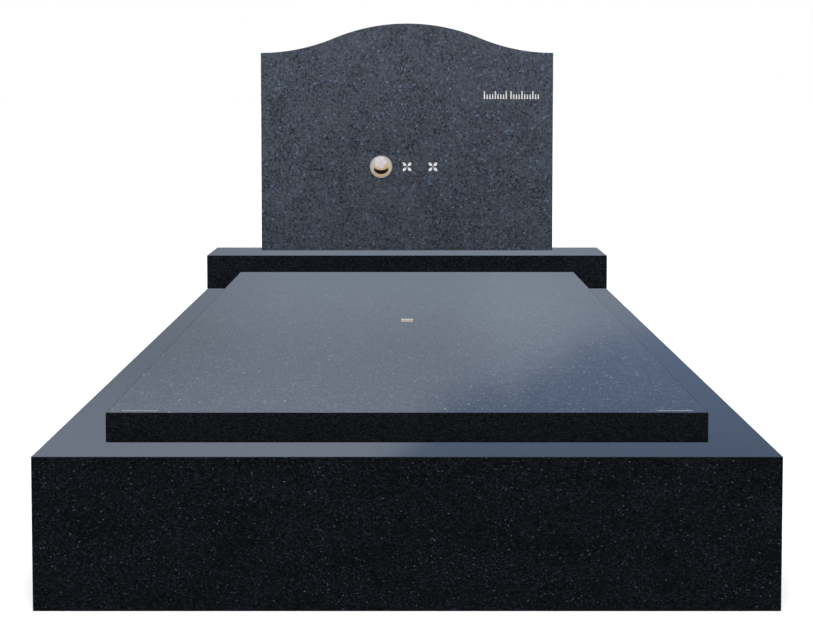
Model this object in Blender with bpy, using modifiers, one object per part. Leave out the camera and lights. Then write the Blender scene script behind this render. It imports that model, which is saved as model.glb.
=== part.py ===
# A granite headstone with a serpentine top on its base, with the ledger slab and
# the high kerb that belong to it. Metres, +Z up, and the front looks along -Y.
# The origin is on the ground, in the middle of the kerb's footprint.

import math

import bmesh
import bpy
from mathutils import Matrix, Vector

OBJECT_NAME = "serpentine_memorial"

# Kerb: four blocks butted into an open frame, the front and rear ones full width
KERB_WIDTH = 1.200
KERB_LENGTH = 2.400
KERB_HEIGHT = 0.250
KERB_THICKNESS = 0.150

# Ledger slab, which lies on the kerb and runs back to the base
LEDGER_THICKNESS = 0.050
LEDGER_BEARING = 0.050      # how far it lies on the front and side kerbs

# Base across the rear, flush with the kerb's back and sides
BASE_DEPTH = 0.250
BASE_HEIGHT = 0.100

# Headstone, flush with the back of its base
STONE_WIDTH = 0.900
STONE_THICKNESS = 0.100
SHOULDER_HEIGHT = 0.610
CROWN_RISE = 0.090          # crown above the shoulders
ARC_STEPS = 16              # straight steps in each quarter of the serpentine

# Worked edges, and the hairline gap where two pieces meet
ARRIS = 0.001
ARRIS_STEPS = 2
JOINT = 0.0003

# V-cut carving
CUT_DEPTH = 0.0015
CUT_PROUD = 0.0002          # how far a cutter stands out of the face
CUT_RIDGE = 0.0002          # width left at the bottom of a cut

# One row of chisel strokes in two groups, set in from the stone's right edge
ROW_RIGHT_MARGIN = 0.043
ROW_DROP = 0.142            # from the shoulders down to the foot of the strokes
STROKE_PITCH = 0.0084
STROKE_GROUPS = (9, 11)
GROUP_SPACE = 0.010
TALL_STROKE = 0.0245
SHORT_STROKE = 0.0150
TALL_EVERY = 4
STROKE_HEAD = 0.0036
STROKE_FOOT = 0.0048        # the wider end, which stands on the row's foot line

# Medallion and two small carved flowers in one line across the face
LINE_HEIGHT = 0.259         # above the foot of the headstone
LINE_PITCH = 0.080
MEDALLION_RADIUS = 0.0345
MEDALLION_RIM = 0.0025
MEDALLION_DOME = 0.0030     # rise of the domed face above the rim
MEDALLION_RINGS = 6
MEDALLION_SIDES = 48
PETALS = 4
PETAL_LENGTH = 0.016
PETAL_WIDTH = 0.010
PETAL_GAP = 0.003           # from the flower's centre to a petal's tip
EYE_WIDTH = 0.0034          # round dish in the flower's centre
DISH_SIDES = 12

# Strokes cut in the ledger near its two front corners
CORNER_STROKE_LENGTH = 0.060
CORNER_STROKE_WIDTH = 0.003
CORNER_STROKE_SETBACK = 0.017   # to its middle
CORNER_STROKE_INSET = 0.0235

# Small plaque on the ledger, a little behind its middle
PLAQUE_WIDTH = 0.0285
PLAQUE_LENGTH = 0.0375
PLAQUE_THICKNESS = 0.003
PLAQUE_ARRIS = 0.0006
PLAQUE_SHIFT = 0.018

# Places that follow from the sizes
KERB_FRONT = -KERB_LENGTH / 2
KERB_BACK = KERB_LENGTH / 2
KERB_SIDE = KERB_WIDTH / 2
LEDGER_MARGIN = KERB_THICKNESS - LEDGER_BEARING
LEDGER_FRONT = KERB_FRONT + LEDGER_MARGIN
LEDGER_SIDE = KERB_SIDE - LEDGER_MARGIN
BASE_FRONT = KERB_BACK - BASE_DEPTH
LEDGER_BACK = BASE_FRONT - JOINT
ON_KERB = KERB_HEIGHT + JOINT
LEDGER_TOP = ON_KERB + LEDGER_THICKNESS
BASE_TOP = ON_KERB + BASE_HEIGHT
STONE_FOOT = BASE_TOP + JOINT
STONE_FACE = KERB_BACK - STONE_THICKNESS

# Outward directions of a block's sides
LEFT, RIGHT = (-1, 0, 0), (1, 0, 0)
FRONT, REAR = (0, -1, 0), (0, 1, 0)
BOTTOM = (0, 0, -1)

FACING_FRONT = (math.pi / 2, 0, 0)      # turns local +Z to -Y and local +Y to +Z


for old in list(bpy.data.objects):
    bpy.data.objects.remove(old)

parts = bpy.data.collections.new(OBJECT_NAME)
cutters = bpy.data.collections.new("cutters")
bpy.context.scene.collection.children.link(parts)
bpy.context.scene.collection.children.link(cutters)

footprint = bpy.data.objects.new("footprint", None)
parts.objects.link(footprint)


def material(name, colour, roughness):
    finish = bpy.data.materials.new(name)
    finish.use_nodes = True
    shader = finish.node_tree.nodes["Principled BSDF"]
    shader.inputs["Base Color"].default_value = (*colour, 1)
    shader.inputs["Roughness"].default_value = roughness
    shader.inputs["Metallic"].default_value = 0
    return finish


black_granite = material("black_granite", (0.008, 0.010, 0.013), 0.12)
blue_granite = material("blue_grey_granite", (0.055, 0.063, 0.082), 0.25)
glazed_ceramic = material("glazed_ceramic", (0.62, 0.55, 0.47), 0.20)


def place(name, mesh, finish, location, rotation=(0, 0, 0)):
    mesh.materials.clear()
    mesh.materials.append(finish)
    piece = bpy.data.objects.new(name, mesh)
    piece.location = location
    piece.rotation_euler = rotation
    piece.parent = footprint
    parts.objects.link(piece)
    return piece


def ease_edges(piece, width, limit):
    bevel = piece.modifiers.new("arris", "BEVEL")
    bevel.width = width
    bevel.segments = ARRIS_STEPS
    bevel.limit_method = limit


def block(name, low, high, finish, joint_sides=(), arris=ARRIS):
    # A squared block between two corners; edges along its joint sides stay sharp
    low, high = Vector(low), Vector(high)
    shape = bmesh.new()
    bmesh.ops.create_cube(shape, size=1, matrix=Matrix.Diagonal((*(high - low), 1)))
    shape.normal_update()
    eased = shape.edges.layers.float.new("bevel_weight_edge")
    for edge in shape.edges:
        sides = [tuple(round(part) for part in face.normal) for face in edge.link_faces]
        edge[eased] = 0 if any(side in joint_sides for side in sides) else 1
    mesh = bpy.data.meshes.new(name)
    shape.to_mesh(mesh)
    shape.free()
    piece = place(name, mesh, finish, (low + high) / 2)
    ease_edges(piece, arris, "WEIGHT")
    return piece


def cutter(name, shape, location, rotation=(0, 0, 0)):
    mesh = bpy.data.meshes.new(name)
    shape.to_mesh(mesh)
    shape.free()
    tool = bpy.data.objects.new(name, mesh)
    tool.location = location
    tool.rotation_euler = rotation
    tool.hide_render = True
    tool.display_type = "WIRE"
    cutters.objects.link(tool)
    return tool


def cut(piece, tool):
    carve = piece.modifiers.new(tool.name, "BOOLEAN")
    carve.operation = "DIFFERENCE"
    carve.solver = "EXACT"
    carve.use_self = True
    carve.object = tool


def stroke_cut(shape, middle, length, head, foot, turn=0):
    # A V-cut in the plane z = 0, along its own Y, head wide at one end and foot at the other
    corners = bmesh.ops.create_cube(shape, size=1)["verts"]
    for corner in corners:
        side = math.copysign(1, corner.co.x)
        end = math.copysign(1, corner.co.y)
        if corner.co.z > 0:
            width = head if end > 0 else foot
            corner.co = (side * width / 2, end * length / 2, CUT_PROUD)
        else:
            corner.co = (side * CUT_RIDGE / 2, end * (length / 2 - CUT_DEPTH), -CUT_DEPTH)
    lay = Matrix.Translation((*middle, 0)) @ Matrix.Rotation(turn, 4, "Z")
    bmesh.ops.transform(shape, matrix=lay, verts=corners)


def dish_cut(shape, middle, length, width, turn=0):
    # An oval dish in the plane z = 0, its length along its own X and its middle deepest
    depth = CUT_DEPTH + CUT_PROUD
    mouth = depth / CUT_DEPTH
    oval = Matrix.Diagonal((length * mouth, width * mouth, 1, 1))
    lay = Matrix.Translation((*middle, CUT_PROUD - depth / 2)) @ Matrix.Rotation(turn, 4, "Z") @ oval
    bmesh.ops.create_cone(shape, cap_ends=True, segments=DISH_SIDES,
                          radius1=0, radius2=0.5, depth=depth, matrix=lay)


def headstone_outline():
    # Right foot, up to the shoulder, hollow and crown, then the same mirrored.
    # The hollow and the crown are arcs of one radius that meet on a common tangent.
    half = STONE_WIDTH / 2
    radius = (half ** 2 + CROWN_RISE ** 2) / (4 * CROWN_RISE)
    sweep = math.asin(half / 2 / radius)
    angles = [sweep * step / ARC_STEPS for step in range(ARC_STEPS + 1)]
    crown = SHOULDER_HEIGHT + CROWN_RISE
    hollow = [(half - radius * math.sin(angle), SHOULDER_HEIGHT + radius * (1 - math.cos(angle)))
              for angle in angles]
    brow = [(radius * math.sin(angle), crown - radius * (1 - math.cos(angle)))
            for angle in reversed(angles)]
    right = [(half, 0)] + hollow + brow[1:]
    left = [(-x, z) for x, z in reversed(right[:-1])]
    return right + left


def headstone():
    points = headstone_outline()
    outline = bpy.data.curves.new("headstone_outline", "CURVE")
    outline.dimensions = "2D"
    outline.fill_mode = "BOTH"
    outline.extrude = STONE_THICKNESS / 2
    spline = outline.splines.new("POLY")
    spline.points.add(len(points) - 1)
    for point, (x, z) in zip(spline.points, points):
        point.co = (x, z, 0, 1)
    spline.use_cyclic_u = True
    guide = bpy.data.objects.new("headstone_outline", outline)
    guide.location = (0, STONE_FACE + STONE_THICKNESS / 2, STONE_FOOT)
    guide.rotation_euler = FACING_FRONT
    parts.objects.link(guide)
    evaluated = guide.evaluated_get(bpy.context.evaluated_depsgraph_get())
    mesh = bpy.data.meshes.new_from_object(evaluated)
    location, rotation = guide.location.copy(), guide.rotation_euler.copy()
    bpy.data.objects.remove(guide)

    shape = bmesh.new()
    shape.from_mesh(mesh)
    bmesh.ops.remove_doubles(shape, verts=shape.verts, dist=JOINT / 10)
    flat = math.radians(0.1)
    bmesh.ops.dissolve_limit(shape, angle_limit=flat, verts=shape.verts, edges=shape.edges)
    shape.to_mesh(mesh)
    shape.free()
    piece = place("headstone", mesh, blue_granite, location, rotation)
    ease_edges(piece, ARRIS, "ANGLE")
    cut(piece, inscription_cutter())
    cut(piece, flower_cutter())
    return piece


def inscription_cutter():
    # The strokes of both groups, counted from the right end of the row
    shape = bmesh.new()
    foot = SHOULDER_HEIGHT - ROW_DROP
    x = STONE_WIDTH / 2 - ROW_RIGHT_MARGIN - STROKE_FOOT / 2
    for count in reversed(STROKE_GROUPS):
        for index in reversed(range(count)):
            height = SHORT_STROKE if index % TALL_EVERY else TALL_STROKE
            stroke_cut(shape, (x, foot + height / 2), height, STROKE_HEAD, STROKE_FOOT)
            x -= STROKE_PITCH
        x -= GROUP_SPACE - STROKE_PITCH + STROKE_FOOT
    return cutter("inscription_cutter", shape, (0, STONE_FACE, STONE_FOOT), FACING_FRONT)


def flower_cutter():
    # Two four-petalled flowers, in the middle of the face and one pitch to its right
    shape = bmesh.new()
    reach = PETAL_GAP + PETAL_LENGTH / 2
    for centre in (0, LINE_PITCH):
        dish_cut(shape, (centre, LINE_HEIGHT), EYE_WIDTH, EYE_WIDTH)
        for index in range(PETALS):
            turn = math.tau * (index + 0.5) / PETALS
            middle = (centre + reach * math.cos(turn), LINE_HEIGHT + reach * math.sin(turn))
            dish_cut(shape, middle, PETAL_LENGTH, PETAL_WIDTH, turn)
    return cutter("flower_cutter", shape, (0, STONE_FACE, STONE_FOOT), FACING_FRONT)


def medallion():
    # A turned disc with a domed face, its flat back against the headstone
    radius = (MEDALLION_RADIUS ** 2 + MEDALLION_DOME ** 2) / (2 * MEDALLION_DOME)
    sweep = math.asin(MEDALLION_RADIUS / radius)
    top = MEDALLION_RIM + MEDALLION_DOME
    angles = [sweep * ring / MEDALLION_RINGS for ring in range(MEDALLION_RINGS + 1)]
    profile = [(radius * math.sin(angle), top - radius * (1 - math.cos(angle))) for angle in angles]
    profile += [(MEDALLION_RADIUS, 0), (0, 0)]
    mesh = bpy.data.meshes.new("ceramic_medallion")
    runs = [(index, index + 1) for index in range(len(profile) - 1)]
    mesh.from_pydata([(r, 0, z) for r, z in profile], runs, [])
    place_on_face = (-LINE_PITCH, STONE_FACE - JOINT, STONE_FOOT + LINE_HEIGHT)
    piece = place("ceramic_medallion", mesh, glazed_ceramic, place_on_face, FACING_FRONT)
    turned = piece.modifiers.new("turned", "SCREW")
    turned.axis = "Z"
    turned.steps = MEDALLION_SIDES
    turned.render_steps = MEDALLION_SIDES
    turned.use_merge_vertices = True
    turned.merge_threshold = JOINT / 10
    turned.use_smooth_shade = True
    return piece


def kerb():
    # The base covers the rear block, and the ledger covers the frame's inside
    side_front = KERB_FRONT + KERB_THICKNESS + JOINT
    side_back = KERB_BACK - KERB_THICKNESS - JOINT
    inside = KERB_SIDE - KERB_THICKNESS
    block("kerb_front", (-KERB_SIDE, KERB_FRONT, 0), (KERB_SIDE, side_front - JOINT, KERB_HEIGHT),
          black_granite, (BOTTOM, REAR))
    block("kerb_rear", (-KERB_SIDE, side_back + JOINT, 0), (KERB_SIDE, KERB_BACK, KERB_HEIGHT),
          black_granite, (BOTTOM, FRONT))
    block("kerb_left", (-KERB_SIDE, side_front, 0), (-inside, side_back, KERB_HEIGHT),
          black_granite, (BOTTOM, FRONT, REAR, RIGHT))
    block("kerb_right", (inside, side_front, 0), (KERB_SIDE, side_back, KERB_HEIGHT),
          black_granite, (BOTTOM, FRONT, REAR, LEFT))


def ledger():
    slab = block("ledger_slab", (-LEDGER_SIDE, LEDGER_FRONT, ON_KERB),
                 (LEDGER_SIDE, LEDGER_BACK, LEDGER_TOP), black_granite)
    shape = bmesh.new()
    reach = LEDGER_SIDE - CORNER_STROKE_INSET - CORNER_STROKE_LENGTH / 2
    for middle in (-reach, reach):
        stroke_cut(shape, (middle, CORNER_STROKE_SETBACK), CORNER_STROKE_LENGTH,
                   CORNER_STROKE_WIDTH, CORNER_STROKE_WIDTH, math.pi / 2)
    cut(slab, cutter("corner_stroke_cutter", shape, (0, LEDGER_FRONT, LEDGER_TOP)))


def plaque():
    middle = (LEDGER_FRONT + LEDGER_BACK) / 2 + PLAQUE_SHIFT
    underside = LEDGER_TOP + JOINT
    block("ledger_plaque", (-PLAQUE_WIDTH / 2, middle - PLAQUE_LENGTH / 2, underside),
          (PLAQUE_WIDTH / 2, middle + PLAQUE_LENGTH / 2, underside + PLAQUE_THICKNESS),
          glazed_ceramic, arris=PLAQUE_ARRIS)


kerb()
ledger()
block("headstone_base", (-KERB_SIDE, BASE_FRONT, ON_KERB), (KERB_SIDE, KERB_BACK, BASE_TOP),
      black_granite)
headstone()
medallion()
plaque()
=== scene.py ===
import math

import bmesh
import bpy
from mathutils import Matrix, Vector


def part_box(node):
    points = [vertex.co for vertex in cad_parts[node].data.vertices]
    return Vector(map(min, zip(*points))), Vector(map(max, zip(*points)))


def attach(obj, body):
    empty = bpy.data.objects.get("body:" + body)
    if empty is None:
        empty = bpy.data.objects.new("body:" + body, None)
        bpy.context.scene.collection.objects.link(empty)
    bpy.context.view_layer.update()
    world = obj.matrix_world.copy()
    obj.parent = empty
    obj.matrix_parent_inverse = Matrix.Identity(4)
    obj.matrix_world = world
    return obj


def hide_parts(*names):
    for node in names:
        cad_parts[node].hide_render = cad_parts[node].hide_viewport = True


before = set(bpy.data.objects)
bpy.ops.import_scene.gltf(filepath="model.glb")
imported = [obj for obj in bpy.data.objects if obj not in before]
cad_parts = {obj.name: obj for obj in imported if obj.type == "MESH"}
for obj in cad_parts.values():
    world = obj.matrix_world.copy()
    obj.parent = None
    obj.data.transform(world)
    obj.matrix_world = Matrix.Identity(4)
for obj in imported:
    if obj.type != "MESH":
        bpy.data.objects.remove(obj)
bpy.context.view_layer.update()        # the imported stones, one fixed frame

# A polished granite memorial: headstone, base, ledger and kerb.
# Metres, +Z up, the front looks along -Y.

collection = bpy.context.scene.collection
print("frame loaded:", len(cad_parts), "stones and fittings")


# Node trees

def findSocket(sockets, key):
    # by place, by the name that the user sees, or by identifier
    if isinstance(key, int):
        return sockets[key]
    named = [socket for socket in sockets if socket.name == key and socket.enabled]
    return named[0] if named else next(socket for socket in sockets if socket.identifier == key)


class Wire:
    # one output socket; arithmetic on wires adds Math nodes to their tree
    def __init__(self, bench, socket):
        self.bench = bench
        self.socket = socket

    def __getitem__(self, name):
        return Wire(self.bench, findSocket(self.socket.node.outputs, name))

    def __add__(self, other):
        return self.bench.math("ADD", self, other)

    def __radd__(self, other):
        return self.bench.math("ADD", other, self)

    def __sub__(self, other):
        return self.bench.math("SUBTRACT", self, other)

    def __rsub__(self, other):
        return self.bench.math("SUBTRACT", other, self)

    def __mul__(self, other):
        return self.bench.math("MULTIPLY", self, other)

    def __rmul__(self, other):
        return self.bench.math("MULTIPLY", other, self)

    def __truediv__(self, other):
        return self.bench.math("DIVIDE", self, other)

    def __rtruediv__(self, other):
        return self.bench.math("DIVIDE", other, self)


class Bench:
    # a node tree being wired up, for a finish or for Geometry Nodes
    def __init__(self, tree):
        self.tree = tree

    def node(self, kind, settings=(), sockets=()):
        made = self.tree.nodes.new(kind)
        for name, value in dict(settings).items():
            if name == "stops":
                self.setStops(made.color_ramp.elements, value)
            else:
                setattr(made, name, value)
        for key, value in dict(sockets).items():
            target = findSocket(made.inputs, key)
            if isinstance(value, Wire):
                self.tree.links.new(value.socket, target)
            else:
                target.default_value = value
        shown = [socket for socket in made.outputs if socket.enabled]
        return Wire(self, shown[0]) if shown else made

    def setStops(self, elements, stops):
        while len(elements) < len(stops):
            elements.new(1)
        for element, (position, colour) in zip(elements, stops):
            element.position = position
            element.color = (*colour, 1)

    def math(self, operation, *values):
        return self.node("ShaderNodeMath", {"operation": operation}, enumerate(values))

    def vector(self, operation, *values):
        return self.node("ShaderNodeVectorMath", {"operation": operation}, enumerate(values))

    def join(self, x, y, z):
        return self.node("ShaderNodeCombineXYZ", {}, {"X": x, "Y": y, "Z": z})

    def split(self, vector):
        return self.node("ShaderNodeSeparateXYZ", {}, {"Vector": vector})

    def mix(self, share, first, second):
        return self.node("ShaderNodeMix", {"data_type": "RGBA"},
                         {"Factor_Float": share, "A_Color": first, "B_Color": second})

    def fade(self, value, start, end):
        # 0 at start, 1 at end, eased at both
        return self.node("ShaderNodeMapRange", {"interpolation_type": "SMOOTHSTEP"},
                         {"Value": value, "From Min": start, "From Max": end})

    def noise(self, where, scale, detail=2.0, roughness=0.5):
        return self.node("ShaderNodeTexNoise", {},
                         {"Vector": where, "Scale": scale, "Detail": detail, "Roughness": roughness})

    def cells(self, where, scale):
        return self.node("ShaderNodeTexVoronoi", {}, {"Vector": where, "Scale": scale})


def colour(red, green, blue):
    return (red, green, blue, 1)


def newFinish(name):
    # an empty material, its bench, its Principled shader and the place on the object
    material = bpy.data.materials.new(name)
    material.use_nodes = True
    bench = Bench(material.node_tree)
    shader = material.node_tree.nodes["Principled BSDF"]
    where = bench.node("ShaderNodeTexCoord")["Object"]
    return material, bench, shader, where


def feed(bench, shader, **values):
    # wires or plain values for the shader's sockets, named without their spaces
    names = {socket.name.replace(" ", ""): socket for socket in shader.inputs}
    for name, value in values.items():
        if isinstance(value, Wire):
            bench.tree.links.new(value.socket, names[name])
        else:
            names[name].default_value = value


# Granite

crystalLook = {"bend": 0.3, "warpScale": 1.3}    # how far an outline wanders, and how quickly


def crystals(bench, place, scale):
    # three even lots between 0 and 1 for each crystal, whose outlines are bent a little
    bend = crystalLook["bend"] / scale
    warp = bench.noise(place, scale * crystalLook["warpScale"])["Color"]
    bent = bench.vector("ADD", place, bench.vector("MULTIPLY", warp, (bend, bend, bend)))
    return bench.node("ShaderNodeSeparateColor", {}, {"Color": bench.cells(bent, scale)["Color"]})


def clouding(bench, place, scale):
    # the stone's slow change from place to place, about zero
    return bench.noise(place, scale, 4.0, 0.6) - 0.5


def chosen(bench, lot, share, edge):
    # 1 on that share of the crystals, eased over their outer part
    return bench.fade(lot, 1 - share, 1 - share * edge)


blackGraniteLook = {
    "stretch": (0.42, 0.60, 1.0),         # crystals drawn out a little along X and Y
    "ground": (0.0012, 0.0013, 0.0016),
    "haze": (0.0055, 0.0065, 0.0085),     # slate grey between the black grains
    "hazeSpan": (0.15, 1.05),
    "fleck": (0.0190, 0.0250, 0.0355),
    "spark": (0.052, 0.062, 0.082),
    "grainScale": 1000.0,
    "dustScale": 1.9,                     # of the dust on the grain, in grain scales
    "dustShare": 0.4,
    "fleckScale": 1250.0,
    "clusterScale": 24.0,
    "clusterShare": 0.4,
    "fleckCluster": 0.6,                  # how far the flecks keep to the clusters
    "fleckShare": 0.13,
    "fleckEdge": 0.35,
    "fleckDim": 0.3,                      # strength of the dimmest fleck
    "sparkShare": 0.006,
    "sparkEdge": 0.5,
    "roughness": (0.05, 0.11),
}

# a lighter copy of the black granite for the base: painted light, standing in for the floor bounce that
# its front, over black stone, gets too little of
baseGranitePaintedLightLook = {
    **blackGraniteLook,
    "ground": (0.0020, 0.0022, 0.0028),
    "haze": (0.0117, 0.0140, 0.0186),
    "fleck": (0.0320, 0.0400, 0.0560),
    "fleckScale": 900.0,
    "clusterShare": 0.1,
    "fleckShare": 0.09,
    "sparkShare": 0.0,
}

# a lighter copy of the black granite for the ledger's sides and arris: painted light, standing in for
# the floor bounce that they, over the black kerb, get too little of
ledgerGranitePaintedLightLook = {
    **blackGraniteLook,
    "ground": (0.0018, 0.0020, 0.0026),
    "haze": (0.0097, 0.0115, 0.0148),
    "fleck": (0.0200, 0.0245, 0.0330),
    "clusterShare": 0.1,
    "fleckShare": 0.09,
    "sparkShare": 0.0,
}

ledgerTopLook = {
    **blackGraniteLook,
    "stretch": (1.0, 0.40, 1.0),          # sawn along the bed, so the crystals lie long in the top
    "grainScale": 260.0,
    "fleckScale": 480.0,
    "fleck": (0.122, 0.131, 0.143),
    "spark": (0.138, 0.147, 0.161),
    "fleckShare": 0.16,
    "sparkShare": 0.005,
}

blueGraniteLook = {
    "ground": (0.0370, 0.0405, 0.0520),
    "pale": (0.0620, 0.0720, 0.0930),
    "paleSpan": (0.15, 0.95),
    "paleShares": (0.5, 0.7),             # of the dust and of the clusters
    "dark": (0.0130, 0.0150, 0.0205),
    "darkSpan": (0.65, 1.05),
    "darkShares": (0.4, -0.6),
    "fleck": (0.076, 0.118, 0.200),
    "spark": (0.115, 0.142, 0.200),
    "grainScale": 210.0,
    "dustScale": 2.1,
    "fleckScale": 170.0,
    "clusterScale": 13.0,
    "fleckShare": 0.050,
    "fleckEdge": 0.4,
    "fleckDim": 0.35,
    "sparkShare": 0.005,
    "sparkEdge": 0.5,
    "roughness": (0.12, 0.20),
}

sawnGraniteLook = {
    "ground": (0.035, 0.037, 0.041),
    "pale": (0.085, 0.088, 0.095),
    "grainScale": 420.0,
    "sawLines": 900.0,
    "roughness": 0.72,
    "relief": 0.00015,
    "reliefStrength": 0.6,
}


def blackGraniteFinish(name, look, rub=0.0, shine=0.5):
    # rub is the roughness that honing adds
    material, bench, shader, where = newFinish(name)
    place = bench.vector("MULTIPLY", where, look["stretch"])
    dust = bench.noise(place, look["grainScale"] * look["dustScale"]) - 0.5
    cluster = look["clusterShare"] * clouding(bench, place, look["clusterScale"])
    grain = crystals(bench, place, look["grainScale"])
    big = crystals(bench, place, look["fleckScale"])
    haze = bench.fade(grain["Red"] + look["dustShare"] * dust + cluster, *look["hazeSpan"])
    shade = bench.mix(haze, colour(*look["ground"]), colour(*look["haze"]))
    lot = big["Green"] + look["fleckCluster"] * cluster
    fleck = chosen(bench, lot, look["fleckShare"], look["fleckEdge"])
    dim = look["fleckDim"]
    shade = bench.mix(fleck * (dim + (1 - dim) * big["Blue"]), shade, colour(*look["fleck"]))
    if look["sparkShare"]:
        spark = chosen(bench, grain["Green"], look["sparkShare"], look["sparkEdge"])
        shade = bench.mix(spark, shade, colour(*look["spark"]))
    smooth, rough = look["roughness"]
    feed(bench, shader, BaseColor=shade, SpecularIORLevel=shine,
         Roughness=smooth + rub + (rough - smooth) * grain["Blue"])
    return material


def blueGraniteFinish(name, look):
    # slate-blue crystals with dark seams between them, and a few clear blue flecks
    material, bench, shader, where = newFinish(name)
    dust = bench.noise(where, look["grainScale"] * look["dustScale"]) - 0.5
    cluster = clouding(bench, where, look["clusterScale"])
    grain = crystals(bench, where, look["grainScale"])
    big = crystals(bench, where, look["fleckScale"])
    shade = colour(*look["ground"])
    for tone, lot in (("pale", grain["Red"]), ("dark", grain["Green"])):
        ofDust, ofCluster = look[tone + "Shares"]
        amount = bench.fade(lot + ofDust * dust + ofCluster * cluster, *look[tone + "Span"])
        shade = bench.mix(amount, shade, colour(*look[tone]))
    fleck = chosen(bench, big["Green"], look["fleckShare"], look["fleckEdge"])
    dim = look["fleckDim"]
    shade = bench.mix(fleck * (dim + (1 - dim) * big["Blue"]), shade, colour(*look["fleck"]))
    spark = chosen(bench, grain["Blue"], look["sparkShare"], look["sparkEdge"])
    shade = bench.mix(spark, shade, colour(*look["spark"]))
    smooth, rough = look["roughness"]
    feed(bench, shader, BaseColor=shade, Roughness=smooth + (rough - smooth) * grain["Red"])
    return material


def sawnGraniteFinish(name, look):
    # undersides and inner faces, left as they came from the saw
    material, bench, shader, where = newFinish(name)
    grain = crystals(bench, where, look["grainScale"])
    shade = bench.mix(grain["Red"], colour(*look["ground"]), colour(*look["pale"]))
    along = bench.split(where)
    lines = bench.math("SINE", (along["X"] + along["Y"] + along["Z"]) * look["sawLines"])
    height = 0.5 + 0.25 * lines + 0.25 * grain["Green"]
    bump = bench.node("ShaderNodeBump", {}, {"Strength": look["reliefStrength"],
                                             "Distance": look["relief"], "Height": height})
    feed(bench, shader, BaseColor=shade, Roughness=look["roughness"], Normal=bump)
    return material


paintLook = {
    "colour": (0.66, 0.65, 0.65),
    "worn": (0.50, 0.48, 0.46),
    "wearScale": 420.0,
    "wearSpan": (0.45, 0.75),
    "roughness": 0.55,
    "wornRoughness": 0.15,                # added where it is worn
}

greyPaintLook = {
    **paintLook,
    "colour": (0.36, 0.36, 0.36),
    "worn": (0.25, 0.25, 0.25),
    "roughness": 0.6,
}


def paintFinish(name, look):
    # paint laid in the cuts, thinner in places
    material, bench, shader, where = newFinish(name)
    thin = bench.fade(bench.noise(where, look["wearScale"], 3.0, 0.6), *look["wearSpan"])
    shade = bench.mix(thin, colour(*look["colour"]), colour(*look["worn"]))
    feed(bench, shader, BaseColor=shade, Roughness=look["roughness"] + look["wornRoughness"] * thin)
    return material


blackPolished = blackGraniteFinish("blackGranitePolished", blackGraniteLook)
basePaintedLightPolished = blackGraniteFinish("baseGranitePaintedLight", baseGranitePaintedLightLook)
ledgerPaintedLightPolished = blackGraniteFinish("ledgerGranitePaintedLight", ledgerGranitePaintedLightLook)
ledgerTop = blackGraniteFinish("ledgerGraniteTop", ledgerTopLook)
ledgerArris = blackGraniteFinish("ledgerGraniteArris", ledgerGranitePaintedLightLook, rub=0.45, shine=0.0)
bluePolished = blueGraniteFinish("blueGranitePolished", blueGraniteLook)
sawnGranite = sawnGraniteFinish("sawnGranite", sawnGraniteLook)
creamPaint = paintFinish("creamPaint", paintLook)
greyPaint = paintFinish("greyPaint", greyPaintLook)
print("granite finishes ready")


# Pieces

meshLook = {"sharp": 35, "weld": 0.00002}    # angle of a kept edge in degrees, and welding distance


def plainMesh(name, source):
    # the evaluated source as a mesh of its own, the modifiers and the source gone
    evaluated = source.evaluated_get(bpy.context.evaluated_depsgraph_get())
    mesh = bpy.data.meshes.new_from_object(evaluated)
    mesh.name = name
    bpy.data.objects.remove(source)
    piece = bpy.data.objects.new(name, mesh)
    collection.objects.link(piece)
    return piece


def bevelEdges(piece, width, steps, finishSlot=-1, limit="WEIGHT"):
    bevel = piece.modifiers.new("arris", "BEVEL")
    bevel.width = width
    bevel.segments = steps
    bevel.limit_method = limit
    bevel.material = finishSlot


def carve(piece, tool):
    # the cut's walls take the tool's own finish
    cut = piece.modifiers.new("carve", "BOOLEAN")
    cut.operation = "DIFFERENCE"
    cut.solver = "EXACT"
    cut.material_mode = "TRANSFER"
    cut.object = tool


def settleNormals(piece):
    # flat faces stay flat, only the eased edges are rounded
    piece.data.shade_smooth()
    piece.data.set_sharp_from_angle(angle=math.radians(meshLook["sharp"]))
    weigh = piece.modifiers.new("weigh", "WEIGHTED_NORMAL")
    weigh.keep_sharp = True
    weigh.weight = 100                    # the large faces decide
    return plainMesh(piece.name.removesuffix("Rough"), piece)


def handOver(piece, slot, *nodes):
    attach(piece, "root")
    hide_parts(*nodes)
    piece.visible_glossy = False          # the polish mirrors only the sky, as in the photograph
    return piece


def growTree(name, sizes, build):
    # a Geometry Nodes tree with a named input for each size and one for its finish
    tree = bpy.data.node_groups.new(name, "GeometryNodeTree")
    tree.interface.new_socket("Geometry", in_out="OUTPUT", socket_type="NodeSocketGeometry")
    kinds = {int: "NodeSocketInt", float: "NodeSocketFloat"}
    for size, value in sizes.items():
        tree.interface.new_socket(size, in_out="INPUT", socket_type=kinds[type(value)])
    tree.interface.new_socket("Finish", in_out="INPUT", socket_type="NodeSocketMaterial")
    bench = Bench(tree)
    given = bench.node("NodeGroupInput")
    shape = bench.node("GeometryNodeRealizeInstances", {}, {"Geometry": build(bench, given)})
    dressed = bench.node("GeometryNodeSetMaterial", {}, {"Geometry": shape, "Material": given["Finish"]})
    bench.node("NodeGroupOutput", {}, {"Geometry": dressed})
    return tree


def growPiece(name, sizes, finish, build):
    # the tree run once on an empty mesh, with every input set by its identifier
    tree = growTree(name + "Tree", sizes, build)
    host = bpy.data.objects.new(name + "Host", bpy.data.meshes.new(name + "Host"))
    collection.objects.link(host)
    grow = host.modifiers.new("grow", "NODES")
    grow.node_group = tree
    for socket in tree.interface.items_tree:
        if socket.in_out == "INPUT":
            grow[socket.identifier] = finish if socket.name == "Finish" else sizes[socket.name]
    return plainMesh(name, host)


# Kerb, ledger and base: squared blocks with eased arrises

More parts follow.
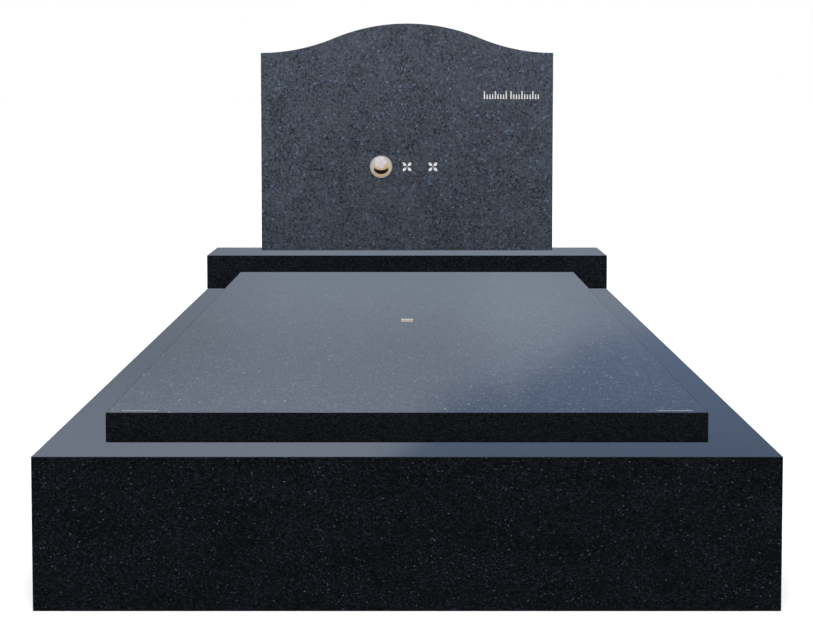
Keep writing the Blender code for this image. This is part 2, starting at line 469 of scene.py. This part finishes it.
blockLook = {"arris": 0.001, "ledgerArris": 0.0015, "fineShare": 0.3, "steps": 3}
plainFinishes = {"side": blackPolished, "edge": blackPolished, "top": blackPolished, "sawn": sawnGranite}
sides = {"left": (-1, 0, 0), "right": (1, 0, 0), "front": (0, -1, 0), "rear": (0, 1, 0),
         "bottom": (0, 0, -1), "top": (0, 0, 1)}


def squaredBlock(name, node, butted=(), sawn=("bottom",), fine=(), arris=blockLook["arris"],
                 **ownFinishes):
    # edges along the butted sides stay sharp, those along the fine ones are eased less,
    # and the sawn sides stay unpolished
    finishes = {**plainFinishes, **ownFinishes}
    slots = list(finishes)
    low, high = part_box(node)
    shape = bmesh.new()
    grow = Matrix.Translation((low + high) / 2) @ Matrix.Diagonal((*(high - low), 1))
    bmesh.ops.create_cube(shape, size=1, matrix=grow)
    shape.normal_update()
    named = {face: next(side for side, way in sides.items() if face.normal.dot(Vector(way)) > 0.9)
             for face in shape.faces}
    for face, side in named.items():
        face.material_index = slots.index("sawn" if side in sawn else "top" if side == "top" else "side")
    eased = shape.edges.layers.float.new("bevel_weight_edge")
    for edge in shape.edges:
        beside = {named[face] for face in edge.link_faces}
        edge[eased] = 0 if beside & set(butted) else blockLook["fineShare"] if beside & set(fine) else 1
    mesh = bpy.data.meshes.new(name)
    shape.to_mesh(mesh)
    shape.free()
    for finish in finishes.values():
        mesh.materials.append(finish)
    rough = bpy.data.objects.new(name + "Block", mesh)
    collection.objects.link(rough)
    bevelEdges(rough, arris, blockLook["steps"], finishSlot=slots.index("edge"))
    return plainMesh(name + "Rough", rough)


# the hidden sides of each kerb block are sawn, and its edges along them sharp
kerbBlocks = {
    "kerbFront": ("kerb_front", ("bottom", "rear")),
    "kerbRear": ("kerb_rear", ("bottom", "front")),
    "kerbLeft": ("kerb_left", ("bottom", "front", "rear", "right")),
    "kerbRight": ("kerb_right", ("bottom", "front", "rear", "left")),
}
for name, (node, hidden) in kerbBlocks.items():
    handOver(settleNormals(squaredBlock(name, node, hidden, hidden)), "black_granite", node)
baseRough = squaredBlock("headstoneBase", "headstone_base", side=basePaintedLightPolished, edge=basePaintedLightPolished)
handOver(settleNormals(baseRough), "black_granite", "headstone_base")
print("kerb and base set")


# Chiselled strokes

cutLook = {"depth": 0.0015, "proud": 0.0002, "ridge": 0.0002}    # proud is above the face


def strokeTree(bench, given):
    # a row of tapered V-cuts along X, heads up along Z, sunk from the plane y = 0 towards +Y
    index = bench.node("GeometryNodeInputIndex")
    later = bench.math("GREATER_THAN", index, given["First group"] - 0.5)
    spot = index * given["Pitch"] + later * given["Group space"]
    local = index - later * given["First group"]
    turnOf = bench.math("MODULO", local, given["Tall every"])
    short = bench.math("GREATER_THAN", turnOf, 0.5)
    height = given["Tall"] - short * (given["Tall"] - given["Short"])
    jitter = bench.node("FunctionNodeRandomValue", {"data_type": "FLOAT"},
                        {"Min": -1.0, "Max": 1.0, "ID": index, "Seed": given["Seed"]})
    height = height * (1 + given["Unevenness"] * jitter)
    row = bench.node("GeometryNodeMeshLine", {}, {"Count": given["Count"], "Offset": (0.0, 0.0, 0.0)})
    row = bench.node("GeometryNodeSetPosition", {}, {"Geometry": row,
                                                     "Position": bench.join(spot, 0.0, 0.0)})
    corner = bench.split(bench.node("GeometryNodeInputPosition"))
    headUp = bench.math("GREATER_THAN", corner["Z"], 0.0)
    deep = bench.math("GREATER_THAN", corner["Y"], 0.0)
    width = given["Foot"] + headUp * (given["Head"] - given["Foot"])
    width = width + deep * (given["Ridge"] - width)
    inset = deep * given["Depth"] / given["Short"]
    place = bench.join(bench.math("SIGN", corner["X"]) * width / 2,
                       deep * (given["Depth"] + given["Proud"]) - given["Proud"],
                       headUp + (1 - 2 * headUp) * inset)
    wedge = bench.node("GeometryNodeMeshCube", {}, {"Size": (1.0, 1.0, 1.0)})
    wedge = bench.node("GeometryNodeSetPosition", {}, {"Geometry": wedge, "Position": place})
    return bench.node("GeometryNodeInstanceOnPoints", {},
                      {"Points": row, "Instance": wedge, "Scale": bench.join(1.0, 1.0, height)})


def strokeSizes(look, **row):
    # what every stroke tree is given, and then the row's own count and spacing
    return {"Tall": look["tall"], "Short": look["short"], "Head": look["head"], "Foot": look["foot"],
            "Depth": cutLook["depth"], "Proud": cutLook["proud"], "Ridge": cutLook["ridge"],
            "Unevenness": look["unevenness"], "Seed": look["seed"], **row}


cornerStrokeLook = {"tall": 0.060, "short": 0.060, "head": 0.003, "foot": 0.003,
                    "unevenness": 0.025, "seed": 3, "setback": 0.017, "inset": 0.0235}


def cornerStrokes(low, high, look):
    # one stroke near each front corner of the ledger, along X
    sizes = strokeSizes(look, **{"Count": 1, "First group": 1, "Tall every": 1, "Pitch": 0.0,
                                 "Group space": 0.0})
    layFlat = Matrix(((0, 0, 1), (-1, 0, 0), (0, -1, 0))).to_4x4()    # length to X, depth to -Z
    strokes = []
    for side, start in (("Left", low.x + look["inset"]),
                        ("Right", high.x - look["inset"] - look["tall"])):
        stroke = growPiece("cornerStroke" + side, sizes, greyPaint, strokeTree)
        stroke.data.transform(Matrix.Translation((start, low.y + look["setback"], high.z)) @ layFlat)
        strokes.append(stroke)
    return strokes


ledgerFinishes = {"side": ledgerPaintedLightPolished, "edge": ledgerArris, "top": ledgerTop}
ledgerRough = squaredBlock("ledger", "ledger_slab", fine=("front",), arris=blockLook["ledgerArris"],
                           **ledgerFinishes)
corners = cornerStrokes(*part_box("ledger_slab"), cornerStrokeLook)
for stroke in corners:
    carve(ledgerRough, stroke)
ledger = settleNormals(plainMesh("ledgerRough", ledgerRough))
for stroke in corners:
    bpy.data.objects.remove(stroke)
handOver(ledger, "black_granite", "ledger_slab")
print("ledger laid")


# Headstone

stoneLook = {"shoulder": 0.610, "columns": 144, "arris": 0.001, "steps": 3}


def slabTree(bench, given):
    # a grid whose upper row follows the serpentine, thickened towards +Y
    half = given["Width"] / 2
    rise = given["Rise"]
    radius = (half * half + rise * rise) / (4 * rise)
    corner = bench.split(bench.node("GeometryNodeInputPosition"))
    out = bench.math("ABSOLUTE", corner["X"])
    fromEdge = half - out
    hollow = given["Shoulder"] + radius - bench.math("SQRT", radius * radius - fromEdge * fromEdge)
    crown = given["Shoulder"] + rise - radius + bench.math("SQRT", radius * radius - out * out)
    inner = bench.math("LESS_THAN", out, half / 2)
    top = hollow + inner * (crown - hollow)
    height = top * bench.math("GREATER_THAN", corner["Y"], 0.0)
    face = bench.node("GeometryNodeMeshGrid", {},
                      {"Size X": given["Width"], "Size Y": 1.0,
                       "Vertices X": given["Columns"], "Vertices Y": 2})
    face = bench.node("GeometryNodeSetPosition", {},
                      {"Geometry": face, "Position": bench.join(corner["X"], 0.0, height)})
    body = bench.node("GeometryNodeExtrudeMesh", {"mode": "FACES"},
                      {"Mesh": face, "Individual": False,
                       "Offset": bench.join(0.0, given["Thickness"], 0.0), "Offset Scale": 1.0})
    body = bench.node("GeometryNodeFlipFaces", {}, {"Mesh": body})
    whole = bench.node("GeometryNodeJoinGeometry", {}, {"Geometry": body})
    bench.tree.links.new(face.socket, whole.socket.node.inputs["Geometry"])
    return bench.node("GeometryNodeMergeByDistance", {},
                      {"Geometry": whole, "Distance": meshLook["weld"]})


inscriptionLook = {"rightMargin": 0.043, "drop": 0.142, "pitch": 0.0084, "groups": (9, 11),
                   "groupSpace": 0.010, "tall": 0.0245, "short": 0.0150, "tallEvery": 4,
                   "head": 0.0036, "foot": 0.0048, "unevenness": 0.025, "seed": 11}


def inscriptionStrokes(look, high, face, foot):
    first, second = look["groups"]
    space = look["groupSpace"] - look["pitch"] + look["foot"]
    sizes = strokeSizes(look, **{"Count": first + second, "First group": first,
                                 "Tall every": look["tallEvery"], "Pitch": look["pitch"],
                                 "Group space": space})
    strokes = growPiece("inscriptionStrokes", sizes, creamPaint, strokeTree)
    length = (first + second - 1) * look["pitch"] + space + look["foot"] / 2
    start = high.x - look["rightMargin"] - length
    line = foot + stoneLook["shoulder"] - look["drop"]
    strokes.data.transform(Matrix.Translation((start, face, line)))
    return strokes


flowerLook = {"petals": 4, "length": 0.016, "width": 0.010, "gap": 0.003, "eye": 0.0017,
              "fullness": 0.8,            # lower is rounder at the tips
              "columns": 15, "eyeSides": 20, "line": 0.259, "pitch": 0.080}


def flowerTree(bench, given):
    # pointed petals with a sunk midrib round a small dished eye, sunk towards +Y
    corner = bench.split(bench.node("GeometryNodeInputPosition"))
    along = corner["X"] + 0.5
    swell = bench.math("POWER", bench.math("SINE", along * math.pi), given["Fullness"])
    rib = 1 - 2 * bench.math("ABSOLUTE", corner["Z"])
    leaf = bench.node("GeometryNodeMeshGrid", {}, {"Size X": 1.0, "Size Y": 1.0, "Vertices Y": 3,
                                                   "Vertices X": given["Columns"]})
    leaf = bench.node("GeometryNodeTransform", {}, {"Geometry": leaf,
                                                    "Rotation": (math.pi / 2, 0.0, 0.0)})
    place = bench.join(given["Gap"] + along * given["Length"],
                       rib * swell * (given["Depth"] + given["Proud"]) - given["Proud"],
                       corner["Z"] * swell * given["Width"])
    leaf = bench.node("GeometryNodeSetPosition", {}, {"Geometry": leaf, "Position": place})
    leaf = bench.node("GeometryNodeConvexHull", {}, {"Geometry": leaf})
    index = bench.node("GeometryNodeInputIndex")
    turn = (index + 0.5) * math.tau / given["Petals"]
    points = bench.node("GeometryNodeMeshLine", {}, {"Count": given["Petals"],
                                                     "Offset": (0.0, 0.0, 0.0)})
    ring = bench.node("GeometryNodeInstanceOnPoints", {},
                      {"Points": points, "Instance": leaf, "Rotation": bench.join(0.0, turn, 0.0)})
    eye = bench.node("GeometryNodeMeshUVSphere", {},
                     {"Segments": given["Eye sides"], "Rings": 10, "Radius": given["Eye"]})
    whole = bench.node("GeometryNodeJoinGeometry", {}, {"Geometry": ring})
    bench.tree.links.new(eye.socket, whole.socket.node.inputs["Geometry"])
    return whole


def carvedFlower(name, x, look, face, foot):
    sizes = {"Petals": look["petals"], "Length": look["length"], "Width": look["width"],
             "Gap": look["gap"], "Eye": look["eye"], "Fullness": look["fullness"],
             "Columns": look["columns"], "Eye sides": look["eyeSides"],
             "Depth": cutLook["depth"], "Proud": cutLook["proud"]}
    flower = growPiece(name, sizes, creamPaint, flowerTree)
    flower.data.transform(Matrix.Translation((x, face, foot + look["line"])))
    return flower


def serpentineStone(look):
    low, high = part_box("headstone")
    tall = high.z - low.z
    sizes = {"Width": high.x - low.x, "Thickness": high.y - low.y, "Shoulder": look["shoulder"],
             "Rise": tall - look["shoulder"], "Columns": look["columns"] + 1}
    slab = growPiece("headstoneSlab", sizes, bluePolished, slabTree)
    slab.data.transform(Matrix.Translation((0, low.y, low.z)))
    bevelEdges(slab, look["arris"], look["steps"], limit="ANGLE")
    tools = [inscriptionStrokes(inscriptionLook, high, low.y, low.z),
             carvedFlower("flowerMiddle", 0, flowerLook, low.y, low.z),
             carvedFlower("flowerRight", flowerLook["pitch"], flowerLook, low.y, low.z)]
    for tool in tools:
        carve(slab, tool)
    stone = settleNormals(plainMesh("headstoneSlabRough", slab))
    for tool in tools:
        bpy.data.objects.remove(tool)
    return handOver(stone, "blue_grey_granite", "headstone")


serpentineStone(stoneLook)
print("headstone carved")


# Medallion

medallionLook = {"rim": 0.0025, "dome": 0.0030, "rings": 24, "turns": 96,
                 "edge": 0.0006, "edgeSteps": 4, "sharp": 40}

# places and sizes in the picture are shares of the disc's radius
pictureLook = {
    "cream": (0.465, 0.42, 0.385),
    "tan": (0.52, 0.35, 0.20),
    "white": (0.535, 0.525, 0.535),
    "fold": (0.40, 0.37, 0.36),
    "black": (0.004, 0.004, 0.005),
    "dark": (0.022, 0.023, 0.030),
    "border": (0.33, 0.32, 0.31),
    "brown": (0.20, 0.13, 0.075),
    "mottleScale": 380.0,
    "oval": (0, -0.12, 0.74, 0.80),       # across, up, half width and half height
    "ovalSpan": (1.03, 0.95),
    "ovalRagged": 0.16,
    "leafUnder": (0, 0.15),               # the leaf lies between two circles, outside the upper one
    "leafUnderSpan": (0.82, 0.79),
    "leafOver": (0, 0.62),
    "leafOverSpan": (0.90, 0.93),
    "leafTips": (0.66, 0.60),
    "teeth": (30, 0.012),                 # how close and how deep
    "midrib": (0, 0.36),
    "midribRadius": 0.86,
    "line": (0.012, 0.004),               # half width of a drawn line, and of its full part
    "blossom": (-0.06, 0.41),
    "blossomSpan": (0.54, 0.50),
    "petals": 5,
    "petalDepth": 0.05,
    "veinSpan": (0.90, 1.0),
    "veinStart": (0.12, 0.3),
    "foldPitch": 30,
    "heart": (0.09, 0.06),
    "rimLine": 0.90,
    "rimSpan": (0.90, 0.93),
    "roughness": (0.18, 0.10),
    "glaze": 0.35,
}


def pictureFinish(name, look, centre, radius):
    # a pale blossom over a dark leaf on a tan oval, inside a cream border
    material, bench, shader, where = newFinish(name)
    spot = bench.split(bench.vector("SUBTRACT", where, centre))
    x = spot["X"] / radius
    z = spot["Z"] / radius
    side = bench.math("ABSOLUTE", x)
    mottle = bench.noise(where, look["mottleScale"], 3.0, 0.6)
    named = ("cream", "tan", "white", "fold", "black", "dark", "border", "brown")
    cream, tan, white, foldTone, black, dark, border, brown = (colour(*look[tone]) for tone in named)

    def awayFrom(across, up, wide=1.0, tall=1.0):
        outX, outZ = (x - across) / wide, (z - up) / tall
        return bench.math("SQRT", outX * outX + outZ * outZ)

    def lineAlong(distance, radius):
        return bench.fade(bench.math("ABSOLUTE", distance - radius), *look["line"])

    # the ground, and a ragged tan oval on it
    ground = bench.mix(mottle * 0.4, cream, border)
    oval = bench.fade(awayFrom(*look["oval"]) + look["ovalRagged"] * (mottle - 0.5), *look["ovalSpan"])
    shade = bench.mix(oval, ground, bench.mix(mottle * 0.2, tan, cream))

    # the leaf, with its toothed edge and its midrib
    teeth, depth = look["teeth"]
    under = awayFrom(*look["leafUnder"]) + depth * bench.math("SINE", x * teeth)
    leaf = bench.fade(under, *look["leafUnderSpan"])
    leaf = leaf * bench.fade(awayFrom(*look["leafOver"]), *look["leafOverSpan"])
    leaf = leaf * bench.fade(side, *look["leafTips"])
    midrib = lineAlong(awayFrom(*look["midrib"]), look["midribRadius"])
    leafShade = bench.mix(bench.fade(side, 0.2, 0.6), black, dark)
    leafShade = bench.mix(midrib * 0.3, leafShade, brown)
    shade = bench.mix(leaf, shade, leafShade)

    # the blossom, with its veins, folds and heart
    across, up = look["blossom"]
    turn = bench.math("ARCTAN2", z - up, x - across) * look["petals"]
    petals = awayFrom(across, up) - look["petalDepth"] * bench.math("COSINE", turn)
    vein = bench.fade(bench.math("COSINE", turn + math.pi), *look["veinSpan"])
    vein = vein * bench.fade(petals, *look["veinStart"])
    fold = bench.fade(bench.math("SINE", petals * look["foldPitch"]), 0.5, 1.0)
    petalShade = bench.mix(vein * 0.6 + fold * 0.3, white, foldTone)
    shade = bench.mix(bench.fade(petals, *look["blossomSpan"]), shade, petalShade)
    shade = bench.mix(bench.fade(awayFrom(across, up), *look["heart"]), shade, tan)

    # the border and its line
    out = awayFrom(0, 0)
    shade = bench.mix(bench.fade(out, *look["rimSpan"]), shade, border)
    shade = bench.mix(lineAlong(out, look["rimLine"]) * 0.5, shade, brown)
    smooth, uneven = look["roughness"]
    feed(bench, shader, BaseColor=shade, Roughness=smooth + uneven * mottle, CoatWeight=look["glaze"])
    return material


def domedMedallion(look):
    # a turned disc: flat back, short rim with an eased edge, domed face towards -Y
    low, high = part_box("ceramic_medallion")
    radius = (high.x - low.x) / 2
    centre = Vector(((low.x + high.x) / 2, high.y, (low.z + high.z) / 2))
    domeRadius = (radius ** 2 + look["dome"] ** 2) / (2 * look["dome"])
    sweep = math.asin((radius - look["edge"]) / domeRadius)
    top = look["rim"] + look["dome"]
    face = [sweep * ring / look["rings"] for ring in range(look["rings"] + 1)]
    profile = [(domeRadius * math.sin(a), top - domeRadius * (1 - math.cos(a))) for a in face]
    edgeHeight = profile[-1][1]
    edge, steps = look["edge"], look["edgeSteps"]
    quarter = [math.pi / 2 * step / steps for step in range(1, steps + 1)]
    profile += [(radius - edge * (1 - math.sin(a)), edgeHeight - edge * (1 - math.cos(a)))
                for a in quarter]
    profile += [(radius, 0), (0, 0)]
    shape = bmesh.new()
    ring = [shape.verts.new((r, -z, 0)) for r, z in profile]
    lines = [shape.edges.new(pair) for pair in zip(ring, ring[1:])]
    bmesh.ops.spin(shape, geom=ring + lines, cent=(0, 0, 0), axis=(0, 1, 0),
                   angle=math.tau, steps=look["turns"], use_merge=True)
    bmesh.ops.remove_doubles(shape, verts=shape.verts, dist=meshLook["weld"])
    bmesh.ops.recalc_face_normals(shape, faces=shape.faces)
    mesh = bpy.data.meshes.new("medallion")
    shape.to_mesh(mesh)
    shape.free()
    mesh.transform(Matrix.Translation(centre))
    mesh.shade_smooth()
    mesh.set_sharp_from_angle(angle=math.radians(look["sharp"]))
    mesh.materials.append(pictureFinish("medallionPicture", pictureLook, centre, radius))
    disc = bpy.data.objects.new("medallion", mesh)
    collection.objects.link(disc)
    return handOver(disc, "glazed_ceramic", "ceramic_medallion")


domedMedallion(medallionLook)
print("medallion turned")


# Plaque on the ledger

plaqueLook = {
    "edge": 0.0006,
    "steps": 3,
    "cream": (0.47, 0.42, 0.385),
    "grey": (0.50, 0.495, 0.49),
    "dull": (0.180, 0.182, 0.187),
    "tan": (0.46, 0.27, 0.12),
    "barPitch": 0.0047,
    "bar": 0.0016,                        # half its width
    "bands": (-0.0060, 0.0092),           # where one band ends and the next begins, along Y
    "waver": (500.0, 0.0006),             # how closely and how far the bands' edges wander
    "blur": 0.0004,
    "lip": 0.0008,                        # below this height the plate's edge is plain grey
    "mottleScale": 300.0,
    "mottleSpan": (0.5, 0.8),
    "roughness": (0.3, 0.15),
}


def enamelFinish(name, centre, look):
    # bands of grey and cream enamel across the plate, the front one barred with tan
    material, bench, shader, where = newFinish(name)
    spot = bench.split(bench.vector("SUBTRACT", where, centre))
    closeness, reach = look["waver"]
    y = spot["Y"] + reach * (bench.noise(where, closeness) - 0.5)
    front, back = look["bands"]
    lip, blur = look["lip"], look["blur"]
    mottle = bench.noise(where, look["mottleScale"], 3.0, 0.6)
    cream, grey, dull = (colour(*look[tone]) for tone in ("cream", "grey", "dull"))
    inFront = bench.fade(y, front + blur, front - blur)
    along = bench.math("PINGPONG", spot["X"], look["barPitch"] / 2) / look["bar"]
    shade = bench.mix(bench.fade(along, 1.1, 0.85), dull, colour(*look["tan"]))
    shade = bench.mix(inFront, cream, shade)
    shade = bench.mix(bench.fade(y, back - blur, back + blur), shade, dull)
    shade = bench.mix(bench.fade(spot["Z"], lip + blur / 4, lip - blur / 4), shade, grey)
    shade = bench.mix(bench.fade(mottle, *look["mottleSpan"]) * 0.25, shade, dull)
    smooth, uneven = look["roughness"]
    feed(bench, shader, BaseColor=shade, Roughness=smooth + uneven * mottle)
    return material


def smallPlaque(look):
    low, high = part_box("ledger_plaque")
    shape = bmesh.new()
    grow = Matrix.Translation((low + high) / 2) @ Matrix.Diagonal((*(high - low), 1))
    bmesh.ops.create_cube(shape, size=1, matrix=grow)
    mesh = bpy.data.meshes.new("plaque")
    shape.to_mesh(mesh)
    shape.free()
    mesh.materials.append(enamelFinish("plaqueEnamel", (low + high) / 2, look))
    rough = bpy.data.objects.new("plaqueBlock", mesh)
    collection.objects.link(rough)
    bevelEdges(rough, look["edge"], look["steps"], limit="ANGLE")
    plate = settleNormals(plainMesh("plaqueRough", rough))
    return handOver(plate, "glazed_ceramic", "ledger_plaque")


smallPlaque(plaqueLook)
print("plaque laid")


# Studio: pale floor, soft light, a grey sky for the polish, and the camera

floorLook = {"size": 400.0, "drop": 0.0004, "colour": (0.93, 0.93, 0.93), "roughness": 0.9}


def layFloor(look):
    mesh = bpy.data.meshes.new("floor")
    shape = bmesh.new()
    bmesh.ops.create_grid(shape, x_segments=1, y_segments=1, size=look["size"] / 2)
    shape.to_mesh(mesh)
    shape.free()
    floor = bpy.data.objects.new("floor", mesh)
    floor.location.z = -look["drop"]
    floor.visible_glossy = False
    collection.objects.link(floor)
    material, bench, shader, _ = newFinish("paleFloor")
    feed(bench, shader, BaseColor=colour(*look["colour"]), Roughness=look["roughness"],
         SpecularIORLevel=0.0)
    mesh.materials.append(material)


skyLook = {
    "cloud": ((0.095, (0.290, 0.340, 0.425)), (0.135, (0.362, 0.423, 0.525)),
              (0.162, (0.346, 0.404, 0.508)), (0.195, (0.411, 0.477, 0.608)),
              (0.225, (0.512, 0.590, 0.746)), (0.400, (0.660, 0.745, 0.905))),    # by height
    "blue": (0.222, 0.308, 0.480),
    "below": (0.012, 0.013, 0.015),
    "horizon": (-0.004, 0.012),
    "drift": (3.2, 5.0, 0.55),            # scale, detail and roughness of what ruffles the clouds
    # azimuth, elevation, radius and soft edge of each gap where the blue shows, in degrees
    "gaps": ((10.45, 22.0, 13.35, 0.9), (3.1, 12.9, 2.8, 1.5)),
    "gapRagged": 0.10,
    # azimuth, elevation, radius and added brightness of each light or dark patch
    "patches": ((4.5, 8.8, 4.0, 0.17), (-9.5, 7.6, 5.5, -0.15)),
    "patchRagged": 0.04,
    "patchCore": 0.2,                     # share of the radius that has the full change
    "fill": 0.62,                         # even white light from all round
}


def hangSky(look):
    # the polish mirrors a cloudy sky; everything else sees plain white
    world = bpy.data.worlds.new("greySky")
    bpy.context.scene.world = world
    world.use_nodes = True
    world.node_tree.nodes.clear()
    bench = Bench(world.node_tree)
    way = bench.node("ShaderNodeTexCoord")["Generated"]
    up = bench.split(way)["Z"]
    drift = bench.noise(bench.vector("MULTIPLY", way, (1.0, 1.0, 3.0)), *look["drift"]) - 0.5
    sky = bench.node("ShaderNodeValToRGB", {"stops": look["cloud"]}, {0: up})

    def awayFrom(azimuth, elevation):
        # the angle between this way and that place in the sky
        middle = (math.sin(azimuth) * math.cos(elevation), math.cos(azimuth) * math.cos(elevation),
                  math.sin(elevation))
        return bench.math("ARCCOSINE", bench.vector("DOT_PRODUCT", way, middle)["Value"])

    for *angles, change in look["patches"]:
        azimuth, elevation, spread = map(math.radians, angles)
        away = awayFrom(azimuth, elevation) + look["patchRagged"] * drift
        glow = 1 + change * bench.fade(away, spread, spread * look["patchCore"])
        sky = bench.vector("MULTIPLY", sky, bench.join(glow, glow, glow))
    clear = 0.0
    for angles in look["gaps"]:
        azimuth, elevation, spread, soft = map(math.radians, angles)
        away = awayFrom(azimuth, elevation) + look["gapRagged"] * drift
        clear = bench.math("MAXIMUM", clear, bench.fade(away, spread + soft / 2, spread - soft / 2))
    sky = bench.mix(clear, sky, colour(*look["blue"]))
    sky = bench.mix(bench.fade(up, *look["horizon"]), colour(*look["below"]), sky)
    rays = bench.node("ShaderNodeLightPath")
    mirrored = bench.node("ShaderNodeBackground", {}, {"Color": sky, "Strength": 1.0})
    even = look["fill"] + (1 - look["fill"]) * rays["Is Camera Ray"]
    plain = bench.node("ShaderNodeBackground", {}, {"Color": colour(1.0, 1.0, 1.0), "Strength": even})
    shown = bench.node("ShaderNodeMixShader", {}, {0: rays["Is Glossy Ray"], 1: plain, 2: mirrored})
    bench.node("ShaderNodeOutputWorld", {}, {"Surface": shown})


softboxLook = {"strength": 3.2, "spread": 50.0, "tilt": 35.0}    # angles in degrees


def hangSoftbox(look):
    # one broad, even light from above and a little in front
    lamp = bpy.data.lights.new("softbox", "SUN")
    lamp.energy = look["strength"]
    lamp.angle = math.radians(look["spread"])
    holder = bpy.data.objects.new("softbox", lamp)
    holder.rotation_euler.x = math.radians(look["tilt"])
    holder.visible_glossy = False
    collection.objects.link(holder)


cameraLook = {
    "place": (0.0, -3.6055, 0.8208),
    "pitch": 2.966,                        # degrees below level
    "focal": 1525.14,                      # in pixels of the 813 x 633 frame
    "frame": (813, 633),
    "centre": (407.008, 177.35),           # where the lens axis meets the frame
    "sensor": 36.0,
}


def placeCamera(look):
    data = bpy.data.cameras.new("camera")
    width, height = look["frame"]
    data.sensor_width = look["sensor"]
    data.lens = look["focal"] / width * look["sensor"]
    data.shift_x = -(look["centre"][0] - width / 2) / width
    data.shift_y = (look["centre"][1] - height / 2) / width
    camera = bpy.data.objects.new("camera", data)
    camera.location = look["place"]
    camera.rotation_euler = (math.radians(90 - look["pitch"]), 0, 0)
    collection.objects.link(camera)
    bpy.context.scene.camera = camera


layFloor(floorLook)
hangSky(skyLook)
hangSoftbox(softboxLook)
placeCamera(cameraLook)
bpy.context.scene.view_settings.view_transform = "Standard"
print("studio set")
